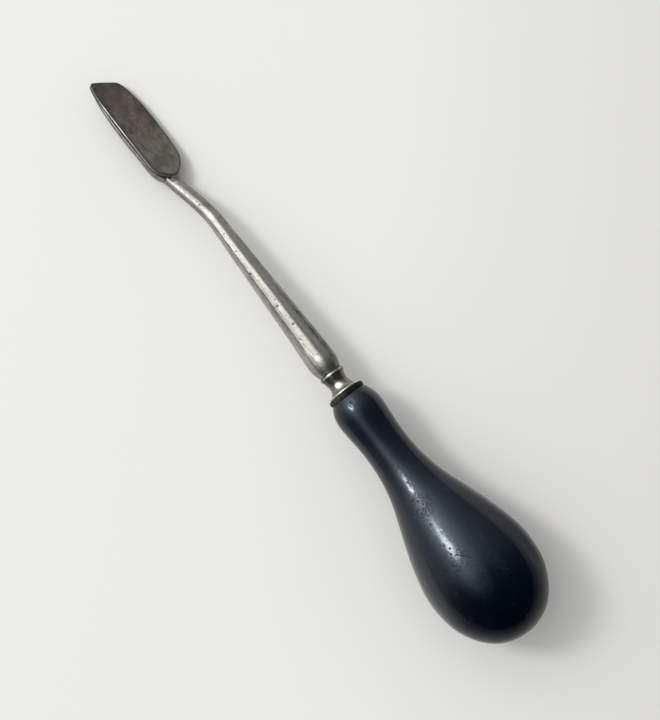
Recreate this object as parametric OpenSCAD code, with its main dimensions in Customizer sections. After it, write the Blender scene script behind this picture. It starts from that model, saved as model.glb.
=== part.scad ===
// Cranked spreading iron with a pear-shaped palm handle, lying at rest.
// A flat tongue-shaped face plate is brazed on the spread end of an eight-sided
// steel shank. The shank's tang runs through a bead ring, a flanged bolster and
// a leather washer into the wooden handle, where cutler's cement holds it.
//
// Every piece is drawn in the tool's own axes: X runs along the handle from the
// blade to the butt, Z is square to the face plate, and X = 0 lies in the groove
// between the bead ring and the bolster. place() then lays the whole tool down on Z = 0.
// Lengths are in millimetres.

/* [Handle] */
// Largest diameter of the bulb
bulb_d = 40.4; // [36:0.2:42]
// Diameter of the grip's waist
waist_d = 15.8; // [14:0.1:17]
// Diameter of the swelling at the nose
nose_d = 17.6; // [16:0.1:19]
// X of the nose's flat face
nose_x = 7.4; // [7.2:0.1:7.6]
// X of the butt's end
butt_x = 106.0; // [105.9:0.1:106.2]
// Diameter of the hole bored for the tang
bore_d = 6.4; // [6:0.1:7]
// Depth of the hole from the nose
bore_depth = 58; // [54:1:66]

/* [Collars] */
// Diameter of the bead ring
ring_d = 9.0; // [8.4:0.1:10]
// Length of the bead ring along the shank
ring_len = 1.4; // [1.2:0.1:1.6]
// Smallest diameter of the bolster
bolster_waist_d = 7.1; // [6.6:0.1:7.6]
// Diameter of the bolster's flange
flange_d = 11.8; // [11:0.1:12.6]
// Thickness of the flange
flange_t = 0.7; // [0.5:0.1:1]
// Diameter of the leather washer
washer_d = 13.5; // [13:0.1:14]
// Diameter of the holes through the collars
collar_bore_d = 4.6; // [4.4:0.1:4.8]

/* [Shank] */
// Width across the flats at the shoulder
shoulder_af = 10.2; // [9.6:0.1:10.6]
// Width across the flats where the crank starts
slim_af = 5.4; // [5:0.1:6]
// Diameter at the knee under the face plate's heel
knee_d = 5.0; // [4.6:0.1:5.4]
// How far the knee's centre lies below the handle's axis
crank_drop = 8.1; // [8:0.1:8.3]
// Side of the square tang at its root
tang_root = 3.1; // [2.8:0.1:3.2]
// Side of the square tang at its point
tang_point = 1.6; // [1.2:0.1:2]

/* [Face plate] */
// Distance from the handle's axis down to the flat face
face_drop = 1.9; // [1.8:0.1:2]
// Thickness of the face plate
plate_t = 1.4; // [1.2:0.1:1.6]
// Half the width of the face plate
plate_half_w = 6.9; // [6.7:0.1:7.1]

/* [Lying pose] */
// Roll of the tool about its handle, so that it rests on knee and plate edge
roll = 32; // [0:0.1:45]
// Dip of the shank towards the blade
dip = 3.58; // [0:0.01:6]

/* [Hidden] */

// Lifts the tool onto Z = 0 and centres its box on X = 0 and Y = 0.
lift = [13.92, 0, 15.183];

ring_x = -2.6;
plate_top = -face_drop;
plate_under = -face_drop - plate_t;
flange_x = nose_x - 2;

// ---------- curves ----------
// Catmull-Rom value at t between p1 and p2.
function cr(p0, p1, p2, p3, t) =
    0.5 * ((2 * p1) + (p2 - p0) * t + (2 * p0 - 5 * p1 + 4 * p2 - p3) * t * t
    + (3 * p1 - p0 - 3 * p2 + p3) * t * t * t);
// Open smooth line through the stations, with n steps between two of them.
function smooth_open(p, n) = let (m = len(p)) concat(
    [for (i = [0 : m - 2]) for (k = [0 : n - 1])
        cr(p[max(i - 1, 0)], p[i], p[i + 1], p[min(i + 2, m - 1)], k / n)],
    [p[m - 1]]);
// Closed smooth line through the stations.
function smooth_closed(p, n) = let (m = len(p))
    [for (i = [0 : m - 1]) for (k = [0 : n - 1])
        cr(p[(i + m - 1) % m], p[i], p[(i + 1) % m], p[(i + 2) % m], k / n)];

// Closed skin through rings of equal point counts, listed along +X.
module loft(rings) {
    m = len(rings[0]);
    n = len(rings);
    pts = [for (r = rings) for (p = r) p];
    faces = concat(
        [for (i = [0 : n - 2]) for (j = [0 : m - 1]) let (k = (j + 1) % m)
            [i * m + j, (i + 1) * m + k, i * m + k]],
        [for (i = [0 : n - 2]) for (j = [0 : m - 1]) let (k = (j + 1) % m)
            [i * m + j, (i + 1) * m + j, (i + 1) * m + k]],
        [[for (j = [0 : m - 1]) j]],
        [[for (j = [m - 1 : -1 : 0]) (n - 1) * m + j]]);
    polyhedron(points = pts, faces = faces, convexity = 4);
}

// Ring of sixteen points: b = 1 gives a true octagon, b = 0 a round.
function oct_ring(x, zc, a, b) =
    [for (i = [0 : 15]) let (t = i * 22.5, k = (i % 2 == 1) ? 1 + b * 0.0824 : 1)
        [x, -a * k * sin(t), zc + a * k * cos(t)]];

// Turned shape about the handle's axis from [x, r] points.
module turned(p, bore, x0, x1) {
    rotate([0, 90, 0]) rotate_extrude($fn = 96)
        difference() {
            polygon([for (q = p) [q[1], q[0]]]);
            if (bore > 0) translate([-1, x0 - 1]) square([bore / 2 + 1, x1 - x0 + 2]);
        }
}

module place() {
    translate(lift) rotate([0, -dip, 0]) rotate([-roll, 0, 0]) children();
}

// ---------- handle ----------
hb = bulb_d / 40.4;
hw = waist_d / 15.8;
hn = nose_d / 17.6;
handle_stations = [
    [nose_x, 6.75 * hn], [8, 7.1 * hn], [9.3, 7.8 * hn], [11, 8.4 * hn], [14.1, 8.8 * hn],
    [18.8, 8.5 * hn], [22.5, 8.15 * hw], [27.8, 7.9 * hw], [35, 8.25 * hw],
    [40.4, 9.1 * hw], [45.8, 10.45 * hb], [51.1, 12.3 * hb], [56.5, 14.3 * hb], [61.8, 16.15 * hb],
    [67.1, 17.8 * hb], [72.4, 19.15 * hb], [76.5, 19.9 * hb], [80.5, 20.2 * hb],
    [85.5, 19.9 * hb], [89, 19.3 * hb], [92, 18.4 * hb], [95, 17.0 * hb], [98, 15.2 * hb],
    [100.7, 12.95 * hb], [102.8, 10.5 * hb], [104.4, 7.6 * hb], [105.5, 4.3 * hb], [butt_x, 0]];

module handle() {
    color([0.07, 0.09, 0.13]) place() difference() {
        rotate([0, 90, 0]) rotate_extrude($fn = 128)
            polygon([for (q = concat([[nose_x, 0]], smooth_open(handle_stations, 3)))
                [q[1], q[0]]]);
        rotate([0, 90, 0]) translate([0, 0, nose_x - 1]) cylinder(d = bore_d, h = bore_depth + 1, $fn = 48);
    }
}

// ---------- tang and its cement ----------
module tang() {
    // Round part under the collars, then the square taper in the wood.
    rotate([0, 90, 0]) translate([0, 0, ring_x - 1])
        cylinder(d = collar_bore_d, h = nose_x + 1 - ring_x, $fn = 48);
    loft([for (q = [[nose_x - 0.5, tang_root], [nose_x + 2, tang_root], [nose_x + 50, tang_point]])
        [for (c = [[-1, 1], [-1, -1], [1, -1], [1, 1]]) [q[0], c[0] * q[1] / 2, c[1] * q[1] / 2]]]);
}

module tang_cement() {
    color([0.30, 0.17, 0.09]) place() difference() {
        rotate([0, 90, 0]) translate([0, 0, nose_x]) cylinder(d = bore_d, h = bore_depth, $fn = 48);
        tang();
    }
}

// ---------- collars ----------
module seat_washer() {
    r = washer_d / 2;
    color([0.16, 0.15, 0.15]) place()
        turned([[flange_x, 0], [flange_x, r - 0.7], [flange_x + 0.25, r - 0.25], [flange_x + 0.7, r],
                [nose_x - 0.6, r], [nose_x, r - 0.35], [nose_x, 0]],
               collar_bore_d, flange_x, nose_x);
}

module bolster() {
    w = bolster_waist_d / 2;
    f = flange_d / 2;
    x0 = ring_x + ring_len;
    color([0.66, 0.65, 0.60]) place()
        turned(concat([[x0, 0]],
                smooth_open([[x0, w + 0.55], [x0 + 0.8, w + 0.4], [1.2, w + 0.05], [2.0, w + 0.02],
                             [3.0, w + 0.25], [3.9, w + 0.75], [flange_x - flange_t, w + 1.5]], 3),
                [[flange_x - flange_t + 0.05, f - 0.15], [flange_x - flange_t + 0.2, f],
                 [flange_x, f], [flange_x, 0]]),
               collar_bore_d, x0, flange_x);
}

module neck_ring() {
    r = ring_d / 2;
    color([0.80, 0.79, 0.74]) place()
        turned([[ring_x, 0], [ring_x, r - 0.35], [ring_x + 0.15, r - 0.1], [ring_x + 0.4, r],
                [ring_x + ring_len - 0.4, r], [ring_x + ring_len - 0.15, r - 0.1],
                [ring_x + ring_len, r - 0.35], [ring_x + ring_len, 0]],
               collar_bore_d, ring_x, ring_x + ring_len);
}

// ---------- shank ----------
sa = shoulder_af / 10.2;
ca = slim_af / 5.4;
ka = knee_d / 5.0;
ga = crank_drop / 8.1;
// Stations: x, centre height, half width across the flats, octagon share.
shank_stations = [
    [-97.5, -7.1 * ga, 2.3 * ka, 0], [-95.8, -7.8 * ga, 2.45 * ka, 0], [-94, -8.1 * ga, 2.5 * ka, 0],
    [-92, -7.55 * ga, 2.5 * ka, 0], [-89, -6.4 * ga, 2.5 * ka, 0], [-85, -4.75 * ga, 2.55 * ka, 0.1],
    [-81, -3.1 * ga, 2.6 * ka, 0.2], [-77, -1.7 * ga, 2.65 * ka, 0.35], [-73, -0.6 * ga, 2.65 * ca, 0.6],
    [-69, 0, 2.7 * ca, 0.85], [-58, 0, 3.1 * ca, 1], [-47, 0, 3.5 * ca, 1], [-38.5, 0, 3.85 * ca, 1],
    [-30, 0, 4.2 * sa, 1], [-19, 0, 4.63 * sa, 1], [-11, 0, 5.02 * sa, 1], [-7.7, 0, 5.1 * sa, 0.95],
    [-6, 0, 5.0 * sa, 0.7], [-4.9, 0, 4.8, 0.4], [-3.6, 0, 4.4, 0.15], [ring_x, 0, 4.1, 0]];
// The spread end under the plate: x, left edge, right edge, depth of the left
// side, depth of the right side, lowest point.
palm_stations = [
    [-132.6, -5.4, -3.4, 0.3, 0.3, -3.8], [-131.2, -6.1, -0.2, 0.6, 0.5, -4.1],
    [-129, -6.6, 3.4, 1.2, 1.0, -4.6], [-125.5, -7.0, 4.9, 1.8, 1.5, -5.1],
    [-121, -7.3, 5.8, 2.1, 1.9, -5.5], [-116, -7.4, 6.3, 2.3, 2.15, -5.9],
    [-108, -7.3, 6.5, 2.3, 2.3, -6.7], [-102, -6.9, 6.2, 2.3, 2.3, -8.0],
    [-98.5, -6.6, 5.4, 2.5, 2.4, -9.4], [-96, -6.0, 3.9, 2.6, 2.6, -10.3],
    [-94, -4.5, 2.2, 3.0, 3.2, -10.55]];
function palm_ring(q) = let (x = q[0], c = (q[1] + q[2]) / 2, w = (q[2] - q[1]) / 2,
    u = plate_under, l = u - q[3], r = u - q[4], b = q[5])
    [[x, c - w, u], [x, c - w, l], [x, c - 0.62 * w, l + 0.72 * (b - l)], [x, c - 0.28 * w, b],
     [x, c + 0.28 * w, b], [x, c + 0.62 * w, r + 0.72 * (b - r)], [x, c + w, r], [x, c + w, u]];

module shank_body() {
    loft([for (q = smooth_open(shank_stations, 2)) oct_ring(q[0], q[1], q[2], q[3])]);
    loft([for (q = palm_stations) palm_ring(q)]);
}

module shank() {
    color([0.60, 0.59, 0.54]) place() union() {
        difference() {
            shank_body();
            // Nothing of the forging stands above the plate's underside beneath the plate.
            translate([-140, -10, plate_under]) cube([46.2, 20, 8]);
        }
        tang();
    }
}

// ---------- face plate ----------
pw = plate_half_w / 6.9;
plate_stations = [
    [-133.8, -5.0], [-133.5, -5.9], [-132.5, -6.5], [-129.7, -6.95], [-124.7, -7.15], [-116.5, -7.1],
    [-108.6, -7.0], [-101, -6.85], [-96.5, -6.6], [-94.2, -5.8], [-92.3, -3.8], [-90.7, -1.2],
    [-90.4, 0.4], [-91.4, 2.4], [-94, 4.9], [-97.2, 6.35], [-102, 6.8], [-108.6, 6.9],
    [-117.5, 6.7], [-123, 6.0], [-127.3, 5.0], [-129.3, 4.1], [-130, 3.5], [-130.7, 2.4],
    [-131.7, 0.3], [-132.9, -2.3]];

module plate_body() {
    translate([0, 0, plate_under]) linear_extrude(height = plate_t)
        polygon([for (p = smooth_closed(plate_stations, 3)) [p[0], p[1] * pw]]);
}

module face_plate() {
    color([0.29, 0.26, 0.25]) place() plate_body();
}

// Brazing metal in the wedge between the plate's heel and the top of the shank,
// running out over the bar as a fillet.
module braze_fillet() {
    color([0.45, 0.36, 0.20]) place() difference() {
        translate([-94.2, 1.9, plate_under - 2.2]) rotate([90, 0, 0]) linear_extrude(height = 2.9)
            polygon([[0, 0], [0, 2.2], [3.2, 2.2], [3.2, 3.2], [4.1, 3.0], [5.3, 2.6], [6.8, 2.3],
                     [7.0, 0.4], [3, 0]]);
        shank_body();
        plate_body();
    }
}

face_plate();
shank();
braze_fillet();
neck_ring();
bolster();
seat_washer();
handle();
tang_cement();
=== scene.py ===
"""Looks for the cranked spreading iron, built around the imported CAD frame.

All detailed pieces are drawn in the tool's own axes, as the CAD source draws them:
X along the handle from the blade to the butt, Z square to the face plate, in
millimetres. to_row() then lays them down in the row frame, in metres.
"""
import math

import bpy
import numpy as np
from mathutils import Matrix, Vector


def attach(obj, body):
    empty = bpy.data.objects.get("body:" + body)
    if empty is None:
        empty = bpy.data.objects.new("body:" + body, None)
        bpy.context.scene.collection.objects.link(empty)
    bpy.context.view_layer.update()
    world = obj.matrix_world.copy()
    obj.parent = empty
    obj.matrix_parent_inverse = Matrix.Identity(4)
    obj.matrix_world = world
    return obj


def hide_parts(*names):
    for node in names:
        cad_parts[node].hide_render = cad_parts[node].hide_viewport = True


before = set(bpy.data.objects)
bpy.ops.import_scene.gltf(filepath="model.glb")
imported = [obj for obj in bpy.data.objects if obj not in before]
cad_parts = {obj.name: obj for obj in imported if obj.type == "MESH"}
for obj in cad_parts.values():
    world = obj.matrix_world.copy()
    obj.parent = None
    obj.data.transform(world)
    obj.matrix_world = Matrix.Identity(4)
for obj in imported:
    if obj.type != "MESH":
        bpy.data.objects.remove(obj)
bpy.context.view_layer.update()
scene = bpy.context.scene
rng = np.random.default_rng(20260411)

# ------------------------------------------------------------------ lying pose
ROLL = math.radians(32.0)
DIP = math.radians(3.58)
LIFT = np.array([13.92, 0.0, 15.183])


def rot_x(a):
    c, s = math.cos(a), math.sin(a)
    return np.array([[1, 0, 0], [0, c, -s], [0, s, c]])


def rot_y(a):
    c, s = math.cos(a), math.sin(a)
    return np.array([[c, 0, s], [0, 1, 0], [-s, 0, c]])


LAY = rot_y(-DIP) @ rot_x(-ROLL)


def to_row(p):
    return (np.asarray(p, float) @ LAY.T + LIFT) * 0.001


# ------------------------------------------------------------------ curves
def catmull(p, n, closed=False):
    p = np.asarray(p, float)
    m = len(p)
    out = []
    for i in range(m if closed else m - 1):
        if closed:
            q = [p[(i + k) % m] for k in (-1, 0, 1, 2)]
        else:
            q = [p[max(i - 1, 0)], p[i], p[i + 1], p[min(i + 2, m - 1)]]
        for k in range(n):
            t = k / n
            out.append(0.5 * (2 * q[1] + (q[2] - q[0]) * t
                              + (2 * q[0] - 5 * q[1] + 4 * q[2] - q[3]) * t * t
                              + (3 * q[1] - q[0] - 3 * q[2] + q[3]) * t ** 3))
    if not closed:
        out.append(p[-1])
    return np.array(out)


def lengths(p, closed=False):
    q = np.vstack([p, p[:1]]) if closed else p
    return np.concatenate([[0], np.cumsum(np.linalg.norm(np.diff(q, axis=0), axis=1))])


def even(p, count, closed=False):
    """The line's points again, evenly spaced along it."""
    q = np.vstack([p, p[:1]]) if closed else p
    s = lengths(p, closed)
    t = np.linspace(0, s[-1], count + 1)[:-1] if closed else np.linspace(0, s[-1], count)
    return np.column_stack([np.interp(t, s, q[:, k]) for k in range(p.shape[1])])


def kernel(sigma):
    r = max(1, int(math.ceil(3 * sigma)))
    g = np.exp(-0.5 * (np.arange(-r, r + 1) / max(sigma, 1e-6)) ** 2)
    return g / g.sum(), r


def soften(p, sigma, ends="fixed"):
    """Gaussian smoothing of an even open line; the ends reflect through themselves, or the last one mirrors in the axis."""
    g, r = kernel(sigma)
    head = 2 * p[0] - p[r:0:-1]
    if ends == "pole":
        tail = p[-2:-r - 2:-1] * np.array([1, -1])
    else:
        tail = 2 * p[-1] - p[-2:-r - 2:-1]
    q = np.vstack([head, p, tail])
    return np.column_stack([np.convolve(q[:, k], g, "valid") for k in range(p.shape[1])])


def soften_closed(p, sigma):
    g, r = kernel(sigma)
    q = np.vstack([p[-r:], p, p[:r]])
    return np.column_stack([np.convolve(q[:, k], g, "valid") for k in range(p.shape[1])])


def hermite(x, y, at):
    """Monotone cubic through the points, column by column."""
    x, y = np.asarray(x, float), np.asarray(y, float)
    h = np.diff(x)
    d = np.diff(y, axis=0) / h[:, None]
    m = np.zeros_like(y)
    m[0], m[-1] = d[0], d[-1]
    for i in range(1, len(x) - 1):
        a, b = d[i - 1], d[i]
        w1, w2 = 2 * h[i] + h[i - 1], h[i] + 2 * h[i - 1]
        same = a * b > 0
        safe_a, safe_b = np.where(same, a, 1), np.where(same, b, 1)
        m[i] = np.where(same, (w1 + w2) / (w1 / safe_a + w2 / safe_b), 0)
    k = np.clip(np.searchsorted(x, at, "right") - 1, 0, len(x) - 2)
    t = ((at - x[k]) / h[k])[:, None]
    hh = h[k][:, None]
    return ((2 * t ** 3 - 3 * t ** 2 + 1) * y[k] + (t ** 3 - 2 * t ** 2 + t) * hh * m[k]
            + (-2 * t ** 3 + 3 * t ** 2) * y[k + 1] + (t ** 3 - t ** 2) * hh * m[k + 1])


def smoothstep(a, b, x):
    t = np.clip((x - a) / (b - a), 0, 1)
    return t * t * (3 - 2 * t)


# ------------------------------------------------------------------ noise on a lattice
class Lattice:
    """Seeded smooth noise in three dimensions, from -1 to 1."""

    def __init__(self, seed, size=32):
        self.n = size
        self.v = np.random.default_rng(seed).uniform(-1, 1, (size, size, size))

    def at(self, p):
        p = np.asarray(p, float)
        i = np.floor(p).astype(int)
        f = p - i
        f = f * f * (3 - 2 * f)
        i0, i1 = i % self.n, (i + 1) % self.n
        v = self.v
        total = 0
        for a in (0, 1):
            wx = f[..., 0] if a else 1 - f[..., 0]
            ix = i1[..., 0] if a else i0[..., 0]
            for b in (0, 1):
                wy = f[..., 1] if b else 1 - f[..., 1]
                iy = i1[..., 1] if b else i0[..., 1]
                for c in (0, 1):
                    wz = f[..., 2] if c else 1 - f[..., 2]
                    iz = i1[..., 2] if c else i0[..., 2]
                    total = total + wx * wy * wz * v[ix, iy, iz]
        return total

    def octaves(self, p, n=3):
        total, amp = 0, 1.0
        for k in range(n):
            total = total + amp * self.at(np.asarray(p) * 2 ** k + 7.3 * k)
            amp *= 0.5
        return total


# ------------------------------------------------------------------ meshes
def make_mesh(name, verts, quads, tris=(), smooth=True):
    """A mesh object from arrays in tool millimetres, with its faces outward."""
    verts = np.asarray(verts, float)
    quads = np.asarray(quads, int).reshape(-1, 4)
    tris = np.asarray(tris, int).reshape(-1, 3)
    a, b, c, d = (verts[quads[:, k]] for k in range(4))
    volume = (np.einsum("ij,ij->i", a, np.cross(b, c)).sum()
              + np.einsum("ij,ij->i", a, np.cross(c, d)).sum())
    if len(tris):
        e, f, g = (verts[tris[:, k]] for k in range(3))
        volume += np.einsum("ij,ij->i", e, np.cross(f, g)).sum()
    if volume < 0:
        quads, tris = quads[:, ::-1], tris[:, ::-1]
    me = bpy.data.meshes.new(name)
    me.vertices.add(len(verts))
    me.vertices.foreach_set("co", to_row(verts).astype(np.float32).ravel())
    loops = np.concatenate([quads.ravel(), tris.ravel()]).astype(np.int32)
    starts = np.concatenate([np.arange(len(quads)) * 4,
                             len(quads) * 4 + np.arange(len(tris)) * 3]).astype(np.int32)
    me.loops.add(len(loops))
    me.loops.foreach_set("vertex_index", loops)
    me.polygons.add(len(starts))
    me.polygons.foreach_set("loop_start", starts)
    me.polygons.foreach_set("use_smooth", np.full(len(starts), smooth))
    me.update(calc_edges=True)
    me.validate()
    ob = bpy.data.objects.new(name, me)
    scene.collection.objects.link(ob)
    return ob


def point_value(ob, name, values):
    at = ob.data.attributes.new(name, "FLOAT", "POINT")
    at.data.foreach_set("value", np.asarray(values, np.float32))


def skin(rings, closed_ends=True):
    """Quads and end caps for rings of equal counts. A ring of one point is a pole."""
    verts, index, n = [], [], 0
    for r in rings:
        r = np.atleast_2d(r)
        verts.append(r)
        index.append(np.arange(n, n + len(r)))
        n += len(r)
    quads, tris = [], []
    for p, q in zip(index[:-1], index[1:]):
        if len(p) == len(q):
            quads.append(np.column_stack([p, q, np.roll(q, -1), np.roll(p, -1)]))
        elif len(p) == 1:
            tris.append(np.column_stack([np.full(len(q), p[0]), q, np.roll(q, -1)]))
        else:
            tris.append(np.column_stack([p, np.full(len(p), q[0]), np.roll(p, -1)]))
    verts = np.vstack(verts)
    if closed_ends:
        extra = []
        for idx, flip in ((index[0], False), (index[-1], True)):
            if len(idx) > 1:
                c = verts[idx].mean(0)
                extra.append(c)
                k = len(verts) + len(extra) - 1
                t = np.column_stack([np.full(len(idx), k), idx, np.roll(idx, -1)])
                tris.append(t[:, ::-1] if flip else t)
        if extra:
            verts = np.vstack([verts, np.array(extra)])
    quads = np.vstack(quads) if quads else np.zeros((0, 4), int)
    tris = np.vstack(tris) if tris else np.zeros((0, 3), int)
    return verts, quads, tris


def turned(profile, count):
    """Rings about the handle's axis; a point with no radius is a pole."""
    t = np.arange(count) / count * 2 * math.pi
    rings = []
    for x, r in profile:
        if r < 1e-6:
            rings.append(np.array([[x, 0.0, 0.0]]))
        else:
            rings.append(np.column_stack([np.full(count, x), r * np.sin(t), r * np.cos(t)]))
    return rings


def fillet_line(points, radii, n=5):
    """A polyline with its inner corners rounded by arcs of about the given radii."""
    p = [np.array(q, float) for q in points]
    out = [p[0]]
    for i in range(1, len(p) - 1):
        r = radii[i]
        if r <= 0:
            out.append(p[i])
            continue
        a, b = p[i - 1] - p[i], p[i + 1] - p[i]
        la, lb = np.linalg.norm(a), np.linalg.norm(b)
        a, b = a / la, b / lb
        cut = min(r, la * 0.49, lb * 0.49)
        s, e = p[i] + a * cut, p[i] + b * cut
        for k in range(n + 1):
            t = k / n
            out.append((1 - t) ** 2 * s + 2 * t * (1 - t) * p[i] + t * t * e)
    out.append(p[-1])
    return np.array(out)


# ------------------------------------------------------------------ materials
class Nodes:
    """A short hand for building a material's nodes."""

    def __init__(self, name):
        self.mat = bpy.data.materials.new(name)
        self.mat.use_nodes = True
        self.nt = self.mat.node_tree
        self.nt.nodes.clear()
        self.out = self.nt.nodes.new("ShaderNodeOutputMaterial")
        self.bsdf = self.nt.nodes.new("ShaderNodeBsdfPrincipled")
        self.nt.links.new(self.bsdf.outputs[0], self.out.inputs["Surface"])
        coords = self.new("ShaderNodeTexCoord")
        m = self.new("ShaderNodeMapping")
        m.vector_type = "TEXTURE"
        m.inputs["Location"].default_value = LIFT * 0.001
        m.inputs["Rotation"].default_value = (-ROLL, -DIP, 0)
        m.inputs["Scale"].default_value = (0.001, 0.001, 0.001)
        self.link(coords.outputs["Object"], m.inputs["Vector"])
        self.tool = m.outputs["Vector"]      # tool axes, in millimetres

    def new(self, kind):
        return self.nt.nodes.new(kind)

    def link(self, a, b):
        self.nt.links.new(a, b)

    def put(self, value, socket):
        if isinstance(value, bpy.types.NodeSocket):
            self.link(value, socket)
        else:
            socket.default_value = value

    def stretch(self, scale, offset=(0, 0, 0), source=None):
        m = self.new("ShaderNodeMapping")
        m.inputs["Scale"].default_value = scale
        m.inputs["Location"].default_value = offset
        self.link(source or self.tool, m.inputs["Vector"])
        return m.outputs["Vector"]

    def noise(self, scale=1.0, detail=3.0, rough=0.55, vector=None, distort=0.0, kind=None):
        n = self.new("ShaderNodeTexNoise")
        if kind:
            n.noise_type = kind
        n.inputs["Scale"].default_value = scale
        n.inputs["Detail"].default_value = detail
        n.inputs["Roughness"].default_value = rough
        n.inputs["Distortion"].default_value = distort
        self.link(vector or self.tool, n.inputs["Vector"])
        return n.outputs["Fac"]

    def voronoi(self, scale=1.0, vector=None, feature="F1", out="Distance", random=1.0):
        n = self.new("ShaderNodeTexVoronoi")
        n.feature = feature
        n.inputs["Scale"].default_value = scale
        n.inputs["Randomness"].default_value = random
        self.link(vector or self.tool, n.inputs["Vector"])
        return n.outputs[out]

    def ramp(self, value, lo, hi, a=0.0, b=1.0, smooth=True):
        n = self.new("ShaderNodeMapRange")
        n.interpolation_type = "SMOOTHSTEP" if smooth else "LINEAR"
        n.inputs["From Min"].default_value = lo
        n.inputs["From Max"].default_value = hi
        n.inputs["To Min"].default_value = a
        n.inputs["To Max"].default_value = b
        self.link(value, n.inputs["Value"])
        return n.outputs["Result"]

    def math(self, op, a, b=0.0, clamp=False):
        n = self.new("ShaderNodeMath")
        n.operation = op
        n.use_clamp = clamp
        self.put(a, n.inputs[0])
        self.put(b, n.inputs[1])
        return n.outputs[0]

    def mix(self, fac, a, b):
        n = self.new("ShaderNodeMix")
        n.data_type = "RGBA"
        self.put(fac, n.inputs[0])
        self.put(a if isinstance(a, bpy.types.NodeSocket) else (*a, 1), n.inputs[6])
        self.put(b if isinstance(b, bpy.types.NodeSocket) else (*b, 1), n.inputs[7])
        return n.outputs[2]

    def attribute(self, name):
        n = self.new("ShaderNodeAttribute")
        n.attribute_name = name
        return n.outputs["Fac"]

    def axis(self, k):
        n = self.new("ShaderNodeSeparateXYZ")
        self.link(self.tool, n.inputs[0])
        return n.outputs[k]

    def bump(self, height, distance, strength=1.0, normal=None):
        n = self.new("ShaderNodeBump")
        n.inputs["Strength"].default_value = strength
        n.inputs["Distance"].default_value = distance
        self.link(height, n.inputs["Height"])
        if normal is not None:
            self.link(normal, n.inputs["Normal"])
        return n.outputs["Normal"]

    def set(self, **kw):
        for k, v in kw.items():
            s = self.bsdf.inputs[k.replace("_", " ")]
            if isinstance(v, bpy.types.NodeSocket):
                self.link(v, s)
            else:
                s.default_value = v if not (hasattr(v, "__len__") and len(v) == 3 and s.type == "RGBA") else (*v, 1)


def ebonised():
    """Black-blue lacquer over wood: smooth at the rims, scuffed and cracked in places."""
    m = Nodes("ebonised_wood")
    drift = m.noise(0.045, 3, 0.6)
    fine = m.noise(1.0, 4, 0.6, m.stretch((0.18, 1.6, 1.6)))
    scuff = m.attribute("scuff")
    colour = m.mix(m.ramp(drift, 0.35, 0.68), (0.0005, 0.0020, 0.0054), (0.0012, 0.0034, 0.0082))
    colour = m.mix(m.math("MULTIPLY", m.ramp(fine, 0.52, 0.75), 0.35), colour, (0.0040, 0.0062, 0.0105))
    colour = m.mix(m.math("MULTIPLY", scuff, 0.30), colour, (0.010, 0.012, 0.016))
    # worn pores and short cracks in the lacquer
    where = m.math("MAXIMUM", m.ramp(m.noise(0.16, 4, 0.65), 0.56, 0.70), m.math("MULTIPLY", scuff, 0.85))
    pores = m.ramp(m.voronoi(1.6, m.stretch((0.6, 1.25, 1.25))), 0.08, 0.30, 1, 0)
    specks = m.ramp(m.noise(3.4, 2, 0.5), 0.60, 0.68)
    vein = m.math("ABSOLUTE", m.math("SUBTRACT", m.noise(0.85, 2, 0.5, None, 1.2), 0.5))
    crack = m.ramp(vein, 0.0, 0.024, 1, 0)
    broken = m.ramp(m.noise(0.75, 3, 0.6, m.stretch((1, 1, 1), (9, 3, 5))), 0.44, 0.54)
    crack = m.math("MULTIPLY", m.math("MULTIPLY", crack, broken), m.ramp(scuff, 0.05, 0.40))
    marks = m.math("MULTIPLY", m.math("MAXIMUM", pores, specks), where, True)
    marks = m.math("MAXIMUM", marks, crack, True)
    marks = m.math("MAXIMUM", marks, m.attribute("nick"), True)
    colour = m.mix(m.math("MULTIPLY", marks, 0.8), colour, (0.0006, 0.0010, 0.0022))
    smear = m.noise(0.11, 4, 0.62)
    rough = m.ramp(smear, 0.3, 0.75, 0.100, 0.155)
    rough = m.math("ADD", rough, m.math("MULTIPLY", m.ramp(fine, 0.35, 0.8), 0.04))
    rough = m.math("ADD", rough, m.math("MULTIPLY", scuff, 0.12))
    rough = m.math("ADD", rough, m.math("MULTIPLY", marks, 0.25), True)
    wave = m.bump(m.noise(0.22, 3, 0.5, m.stretch((0.5, 1, 1))), 0.00012, 0.5)
    grain = m.bump(fine, 0.00001, 0.6, wave)
    rubbed = m.bump(m.noise(0.8, 4, 0.65), 0.00005, 0.4, grain)
    normal = m.bump(m.math("SUBTRACT", 1.0, marks), 0.00010, 1.0, rubbed)
    m.set(Base_Color=colour, Roughness=rough, Normal=normal, Metallic=0.0, IOR=1.50)
    m.bsdf.inputs["Specular Tint"].default_value = (0.84, 0.935, 1.0, 1)
    # painted shade: the specular level is turned down at the butt and on the side away from the window
    reflection_shade = m.math("SUBTRACT", 0.5, m.math("MULTIPLY", m.attribute("reflection_shade"), 0.45))
    m.link(reflection_shade, m.bsdf.inputs["Specular IOR Level"])
    return m.mat


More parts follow.
